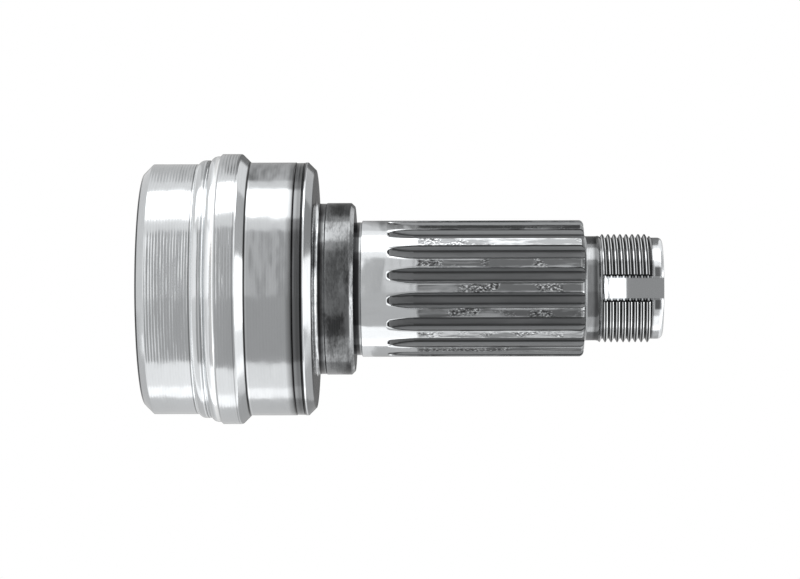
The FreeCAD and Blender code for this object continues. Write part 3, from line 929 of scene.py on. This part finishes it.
# Painted highlight and shade on the boss: greys above 1 paint bright its foot fillet, the step after it
# and its end bevel; low greys paint shade at the shoulder, in the step's corner and past the end.
boss_painted_light = zoned(
    near(x_shoulder, (-2.5, 0.3))
    + near(x_boss, (-1.15, 2.2), (-0.9, 3.2), (-0.35, 3.2), (-0.1, 0.15), (0.3, 0.1), (0.9, 0.5),
           (1.4, 1.3), (2.4, 1.0))
    + near(x_boss_end, (-1.9, 0.85), (-1.2, 0.9), (-0.8, 1.6), (-0.5, 1.9), (-0.1, 1.9),
           (0.1, 0.3)))
# Painted shade and highlight along the stub: painted shade darkens the neck and, most, the relief before
# the thread and the corner where the thread meets the pilot; greys above 1 paint highlights on the pilot
# and on the end's round.
thread_painted_light = zoned(
    near(x_spline_end, (-1.5, 0.3), (0.3, 0.5), (0.9, 0.45))
    + near(x_thread, (-1.6, 0.4), (-0.9, 0.15), (0.3, 0.2), (1.0, 1.0))
    + near(x_thread_end, (-0.1, 1.0), (0.1, 0.35), (0.35, 1.2))
    + near(x_end, (-0.5, 1.2), (0, 0.5)))
print("zone steps", len(rim_outline_shade), len(ridge_highlights_and_shade), len(rear_band_and_shade), len(bell_cut))

# %% [markdown]
# Crests and roots of the thread are told apart by the marks stored with the points, and both are
# painted near-black as shade. Its flanks face each other and would mirror only themselves, so their
# normal leans outwards a little.

# %% Tone and painted shade of the thread and the keyway
def past(tree, x, start, end, to_low=0.0, to_high=1.0):
    """Value that changes from to_low to to_high between two places in millimetres."""
    return span(tree, x, start * MM, end * MM, to_low, to_high)


def flatter_flanks(tree, coords):
    """Normal that leans about halfway from a thread's flank to the radius: the flank's own normal
    plus 1.1 times the direction away from the axis. The keyway's normals stay."""
    radius = vector(tree, "NORMALIZE", vector(tree, "MULTIPLY", coords, (0, 1, 1)))
    outwards = node(tree, "VectorTransform", vector_type="NORMAL", convert_from="OBJECT",
                    convert_to="WORLD", Vector=radius).outputs[0]
    off_key = span(tree, own_mark(tree, "key"), 0.0, 0.05, 1.1, 0.0)
    share = product(tree, own_mark(tree, "threaded"), off_key)
    normal = node(tree, "NewGeometry").outputs["Normal"]
    bent = vector(tree, "ADD", normal, vector(tree, "SCALE", outwards, Scale=share))
    return vector(tree, "NORMALIZE", bent)


def thread_shade_and_tone(tree, colour, coords):
    """Thread crests and roots are painted near-black: a dark outline on the crests and shade in the
    roots; the flanks on one side of each crest are painted darker as shade. The keyway is milled a
    plain grey that is lighter on its run-out. The pilot is dull beside the keyway."""
    # The first grey, near-black, is painted shade for crests and roots; the last is painted shade on one
    # flank.
    oil, dull, run_out_grey, floor_grey, shaded_flank_grey = 0.03, 0.17, 0.85, 0.36, 0.62
    x, y, z = node(tree, "SeparateXYZ", Vector=coords).outputs
    out = thread_painted_light(tree, colour, coords)
    depth = own_mark(tree, "cut")
    # Painted shade: the flanks on one side of each crest get a darker grey.
    flank = mixed_grey(tree, own_mark(tree, "left"), 1.0, shaded_flank_grey)
    # Painted shade: crests and roots take the near-black grey, an outline on the crests and shade in the
    # roots.
    crest = span(tree, depth, 0.16, 0.30, 1.0, 0.0)
    root = span(tree, depth, 0.56, 0.68)
    cutting = mixed_grey(tree, maths(tree, "MAXIMUM", crest, root), flank, oil)
    out = mixed_grey(tree, own_mark(tree, "threaded"), out, cutting)
    aside = maths(tree, "ABSOLUTE", z)
    beside_key = product(tree, past(tree, aside, 2 * key_half, 2 * key_half + 0.5, 1.0, 0.0),
                         past(tree, y, -9.5, -8.5, 1.0, 0.0),
                         past(tree, x, x_thread_end + 0.3, x_thread_end + 0.6),
                         past(tree, x, x_end - 0.6, x_end - 0.9))
    out = mixed_grey(tree, beside_key, out, dull)
    milled = mixed_grey(tree, past(tree, x, x_end - 9.5, x_end - 9.2), run_out_grey, floor_grey)
    return mixed_grey(tree, span(tree, own_mark(tree, "key"), 0.4, 0.6), out, milled)


# %% [markdown]
# On the splined shaft the tooth tops are ground and scuffed and the spaces are darker. Light and
# shade are painted over that: a highlight along the edges of the teeth wherever a noise says so,
# lighter flanks, dark lines of shade at the feet and under the edges, and shade in the undercut.

# %% Ground and milled places of the shaft, with painted light and shade
def shaft_tone_and_light(tree, colour, coords):
    """The plain land stays bright; tooth tops darken where the cutter reached full depth, and the
    spaces are darker still. Light and shade are painted over that: a highlight on the teeth's edges,
    lighter flanks, near-black lines at the spaces' feet and just under the teeth's edges, and shade
    in the undercut."""
    top_grey, scuff_grey, chip_grey, pit_grey, edge_highlight_grey = 0.20, 0.6, 0.75, 0.05, 0.6
    space_grey, sheen_grey, flank_light_grey = 0.13, 0.17, 0.30
    foot_shade_grey, edge_line_shade_grey, undercut_oil_and_shade_grey = 0.02, 0.03, 0.04
    x = node(tree, "SeparateXYZ", Vector=coords).outputs[0]
    ragged = stretched_noise(tree, coords, (90.0, 500.0, 500.0))
    moved = maths(tree, "MULTIPLY_ADD", maths(tree, "SUBTRACT", ragged, 0.5), 0.0016, x)
    full_depth = past(tree, moved, x_spline + 7.3, x_spline + 8.1)
    tops = mixed_grey(tree, full_depth, colour, top_grey)
    patches = stretched_noise(tree, coords, (60.0, 420.0, 420.0), 5.0, 0.4)
    scuffs = product(tree, span(tree, patches, 0.52, 0.68, 0.0, 0.8), full_depth)
    tops = mixed_grey(tree, scuffs, tops, scuff_grey)
    grain = stretched_noise(tree, coords, (1500.0, 2600.0, 2600.0), 2.0)
    where = span(tree, stretched_noise(tree, coords, (110.0, 160.0, 160.0), 1.0), 0.52, 0.6)
    for low, high, grey in ((0.55, 0.62, chip_grey), (0.46, 0.4, pit_grey)):
        grit = product(tree, span(tree, grain, low, high), where, full_depth)
        tops = mixed_grey(tree, grit, tops, grey)
    spaces = mixed_grey(tree, span(tree, patches, 0.4, 0.7), space_grey, sheen_grey)
    # Painted light: the sides of a space are painted lighter, against the shade they get from the teeth
    # beside them.
    spaces = mixed_grey(tree, own_mark(tree, "flank"), spaces, flank_light_grey)
    # Painted shade: a near-black line where a side meets the floor.
    spaces = mixed_grey(tree, product(tree, own_mark(tree, "foot"), 0.9), spaces, foot_shade_grey)
    cut = own_mark(tree, "cut")
    out = mixed_grey(tree, cut, tops, spaces)
    # Painted shade: a near-black line just under the edges of the teeth, all along the splines.
    edge_shade_line = product(tree, span(tree, cut, 0.1, 0.3), span(tree, cut, 0.95, 0.7),
                         past(tree, x, x_spline - 0.2, x_spline + 0.3))
    out = mixed_grey(tree, edge_shade_line, out, edge_line_shade_grey)
    # Painted highlight: bright along the edges of the teeth, broken up by a noise.
    edge_highlight = product(tree, own_mark(tree, "tooth_edge_highlight"), span(tree, ragged, 0.44, 0.58))
    out = mixed_grey(tree, edge_highlight, out, edge_highlight_grey)
    # Painted shade, with dark oil: the undercut before the land is near-black.
    undercut = past(tree, x, x_land - 0.65, x_land + 0.25, 1.0, 0.0)
    return mixed_grey(tree, undercut, out, undercut_oil_and_shade_grey)


# %% [markdown]
# The eight finishes follow, from the satin of the turned bell to the polish of the balls. Cage,
# inner race, balls and ring keep the solids' own shape and only get a finish.

# %% The finishes
turned_steel = steel("turned_steel", 0.67, 0.42, 0.14, feed=0.00072, wander=0.9, marks=0.08, stain=0.1,
                     relief=0.000025, wave=0.00028, extra=bell_painted_light_and_band, cut_zones=bell_cut)
seal_steel = steel("seal_steel", 0.25, 0.055, 0.16, feed=0.0006, wander=1.2, marks=0.1, stain=0.9,
                   size=0.012, draw=(0.35, 1.0, 1.0), relief=0.000002, wave=0.0003, extra=boss_painted_light)
spline_steel = steel("spline_steel", 0.83, 0.7, 0.12, feed=0.0011, wander=1.0, marks=0.05, stain=0.25,
                     size=0.006, draw=(2.0, 0.4, 0.4), relief=0.000001, wave=0.0002, extra=shaft_tone_and_light,
                     rough_cut=0.6)
thread_steel = steel("thread_steel", 0.75, 0.35, 0.13, feed=0.0015, wander=0.4, marks=0.05, stain=0.35,
                     size=0.004, relief=0.000001, wave=0.00008, extra=thread_shade_and_tone, bend=flatter_flanks)
cage_steel = steel("cage_steel", 0.20, 0.07, 0.34, feed=0.0005, wander=0.8, marks=0.4, stain=0.6,
                   size=0.005, relief=0.000002)
star_steel = steel("star_steel", 0.46, 0.26, 0.22, feed=0.0004, wander=0.8, marks=0.3, stain=0.5,
                   size=0.006, relief=0.000001)
ball_steel = steel("ball_steel", 0.72, 0.60, 0.06, feed=0.0007, marks=0.05, stain=0.2, size=0.004,
                   relief=0.0000001, wave=0.000001, spread=0.03)
ring_steel = steel("ring_steel", 0.16, 0.07, 0.32, feed=0.0004, marks=0.2, stain=0.5, size=0.003,
                   relief=0.000001)
for piece, finish in ((bell, turned_steel), (boss, seal_steel), (shaft, spline_steel),
                      (thread_end, thread_steel)):
    dress(piece, finish)
for name, finish in (("cage", cage_steel), ("inner_race", star_steel), ("snap_ring", ring_steel)):
    dress(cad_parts[name], finish)
for number in range(ball_count):
    dress(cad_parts["ball_%d" % (number + 1)], ball_steel)
print("finishes", [material.name for material in bpy.data.materials if material.name.endswith("_steel")])

# %% [markdown]
# ## The studio
# Turned metal is a bent mirror, so lighting it means placing what it mirrors. The band of light
# along the top comes from a long soft box overhead, the thin one below from a strip, and the grey
# middle from a card behind the camera. Floor, cards and background are plain and pale, and the
# cards stand all round, so the metal looks the same from every side.

# %% Helpers for the stage
def emission_material(name, grey):
    """Plain glowing card of one grey."""
    material = bpy.data.materials.new(name)
    material.use_nodes = True
    tree = material.node_tree
    tree.nodes.clear()
    glow = node(tree, "Emission", Color=(grey, grey, grey, 1), Strength=1.0)
    node(tree, "OutputMaterial", Surface=glow.outputs[0])
    return material


def flat_panel(name, corners):
    """Flat stage piece from its corners in metres."""
    mesh = bpy.data.meshes.new(name)
    mesh.from_pydata(corners, [], [tuple(range(len(corners)))])
    panel = bpy.data.objects.new(name, mesh)
    bpy.context.scene.collection.objects.link(panel)
    return panel


def card(name, corners, grey):
    """Card that only the metal sees."""
    panel = flat_panel(name, corners)
    dress(panel, emission_material(name, grey))
    panel.visible_camera = False
    panel.visible_diffuse = False
    panel.visible_shadow = False


# %% [markdown]
# The floor is plain and pale, and fades into the white of the background with the distance from
# the part, so that no horizon shows.

# %% Floor
shaft_middle = 0.0496
floor_height, floor_half, fade_start, fade_end = -0.16, 0.9, 0.12, 0.5
floor = flat_panel("floor", [(shaft_middle + a * floor_half, b * floor_half, floor_height)
                             for a, b in ((-1, -1), (1, -1), (1, 1), (-1, 1))])
floor_paint = bpy.data.materials.new("floor_paint")
floor_paint.use_nodes = True
paint = floor_paint.node_tree
base = plug(paint, paint.nodes["Principled BSDF"], Base_Color=(0.86, 0.86, 0.86, 1), Roughness=0.9)
floor_coords = node(paint, "TexCoord").outputs["Object"]
from_part = vector(paint, "SUBTRACT", floor_coords, (shaft_middle, 0, floor_height))
reach = vector(paint, "LENGTH", from_part, output="Value")
fade = span(paint, reach, fade_start, fade_end, kind="SMOOTHSTEP")
white = node(paint, "Emission", Color=(1, 1, 1, 1), Strength=1.0)
blend = node(paint, "MixShader", in_0=fade, in_1=base.outputs[0], in_2=white.outputs[0])
plug(paint, paint.nodes["Material Output"], Surface=blend.outputs[0])
dress(floor, floor_paint)
print("floor", floor_height, "m high, fades from", fade_start, "to", fade_end, "m")

# %% [markdown]
# The cards make the greys that run along the part. Upright ones stand in front and behind, in
# strips of their own grey, and flat ones lie before, under and behind the part, each between a
# first and a last line along X.

# %% Cards
def standing(name, x0, y0, x1, y1, low, high, grey):
    """Upright card over the line from (x0, y0) to (x1, y1)."""
    card(name, [(x0, y0, low), (x1, y1, low), (x1, y1, high), (x0, y0, high)], grey)


def in_parts(name, y, edges, greys, high):
    """Upright cards side by side at y, from one of edges to the next."""
    for number, (x0, x1, grey) in enumerate(zip(edges[:-1], edges[1:], greys)):
        standing("%s_%d" % (name, number + 1), x0, y, x1, y, floor_height, high, grey)


wall, card_left, card_right, wing_end, wing_y = 1.25, -0.33, 0.42, 1.6, 0.35
in_parts("front_card", -wall, (card_left, -0.09, -0.045, -0.03, -0.01, 0.01, card_right),
         (0.48, 0.38, 0.54, 0.62, 0.72, 0.68), 1.70)
in_parts("back_card", wall, (card_left, -0.10, -0.06, -0.04, -0.02, 0.0, card_right),
         (0.72, 0.56, 0.50, 0.42, 0.34, 0.22), 2.70)
for side_name, way, wing_grey in (("front", -1, 1.35), ("back", 1, 1.0)):
    for wing_name, x0, x1 in (("_left", card_left, -wing_end), ("_right", card_right, wing_end)):
        standing(side_name + wing_name, x0, way * wall, x1, way * wing_y, floor_height, 1.3, wing_grey)
under_y, strip_y, strip_end, card_height = -0.0756, 0.005, 0.053, floor_height + 0.005
for name, first, last, y_first, y_last, grey in (
        ("apron", (-0.04, 0.135), (card_left, card_right), under_y, -wall, 0.50),
        ("apron_left", (-wing_end, -0.04), (-wing_end, card_left), under_y, -wall, 1.0),
        ("apron_right", (0.135, wing_end), (card_right, wing_end), under_y, -wall, 1.1),
        ("under", (-0.9, 0.9), (-0.9, 0.9), strip_y, under_y, 1.2),
        ("strip", (-0.4, 0.5), (-0.4, 0.5), strip_y, strip_end, 1.65),
        ("back_apron_left", (-0.9, 0.03), (-0.9, 0.0), strip_end, wall, 0.80),
        ("back_apron_right", (0.03, 0.14), (0.0, 0.2), strip_end, wall, 0.50),
        ("back_apron_far", (0.14, 0.9), (0.2, 0.9), strip_end, wall, 0.92)):
    card(name, [(first[0], y_first, card_height), (first[1], y_first, card_height),
                (last[1], y_last, card_height), (last[0], y_last, card_height)], grey)
for name, start, end, low, high, grey in (
        ("end_panel", (0.45, -0.25), (0.45, 0.12), floor_height, 0.12, 2.6),
        ("end_card", (1.1, -0.6), (1.1, 0.6), 0.32, 1.5, 0.55),
        ("left_flag", (-1.05, 0.35), (-0.75, 0.85), floor_height, 0.2, 0.02)):
    standing(name, *start, *end, low, high, grey)

# %% [markdown]
# The world is white wherever the camera or a mirror sees it, and a little weaker as light on the
# floor.

# %% World
world = bpy.data.worlds.new("studio")
bpy.context.scene.world = world
world.use_nodes = True
sky = world.node_tree
sky.nodes.clear()
path = node(sky, "LightPath")
seen = maths(sky, "ADD", maths(sky, "ADD", path.outputs["Is Camera Ray"], path.outputs["Is Glossy Ray"]),
             path.outputs["Is Transmission Ray"], clamp=True)
strength = span(sky, seen, 0, 1, 0.8, 1.0)
ground = node(sky, "Background", Color=(1, 1, 1, 1), Strength=strength)
node(sky, "OutputWorld", Surface=ground.outputs[0])

# %% [markdown]
# One long soft box overhead draws the bright band along the top of every turned step. Its power is
# its radiance times pi times its face, so its size doesn't change how bright it mirrors.

# %% Soft box
box_place, box_width, box_height, box_radiance = (shaft_middle, -0.0675, 0.55), 0.9, 0.335, 1.65
lamp = bpy.data.lights.new("top_box", "AREA")
lamp.shape, lamp.size, lamp.size_y = "RECTANGLE", box_width, box_height
lamp.energy = box_radiance * math.pi * box_width * box_height
box = bpy.data.objects.new("top_box", lamp)
toward = (Vector((shaft_middle, 0, 0)) - Vector(box_place)).normalized()
up = Vector((1, 0, 0)).cross(toward).normalized()
box.matrix_world = Matrix([(*row, place) for row, place in zip(
    ((-1, up.x, -toward.x), (0, up.y, -toward.y), (0, up.z, -toward.z)), box_place)] + [(0, 0, 0, 1)])
box.visible_camera = False
bpy.context.scene.collection.objects.link(box)
print(box.name, round(lamp.energy, 3), "W")

# %% [markdown]
# ## The camera
# The picture was taken from the side with a long lens, level with the shaft and a touch to the
# right of straight on. 200 mm of the object's plane fill the frame's width.

# %% Camera and colour
field_width, distance, swing_deg, roll_deg = 0.200, 0.800, 1.2, -0.13
target = Vector((shaft_middle, 0, -0.0002))
swing = math.radians(swing_deg)
roll = Matrix.Rotation(math.radians(roll_deg), 4, "Z")
camera_data = bpy.data.cameras.new("camera")
camera_data.sensor_width = 36.0
camera_data.lens = 36.0 * distance / field_width
camera_data.clip_start = 0.01
camera = bpy.data.objects.new("camera", camera_data)
camera.location = target + distance * Vector((math.sin(swing), -math.cos(swing), 0))
looking = (target - camera.location).to_track_quat("-Z", "Y").to_matrix().to_4x4()
camera.matrix_world = Matrix.Translation(camera.location) @ looking @ roll
bpy.context.scene.collection.objects.link(camera)
bpy.context.scene.camera = camera
bpy.context.scene.view_settings.view_transform = "Standard"
print("lens", round(camera_data.lens, 1), "mm at", distance, "m")
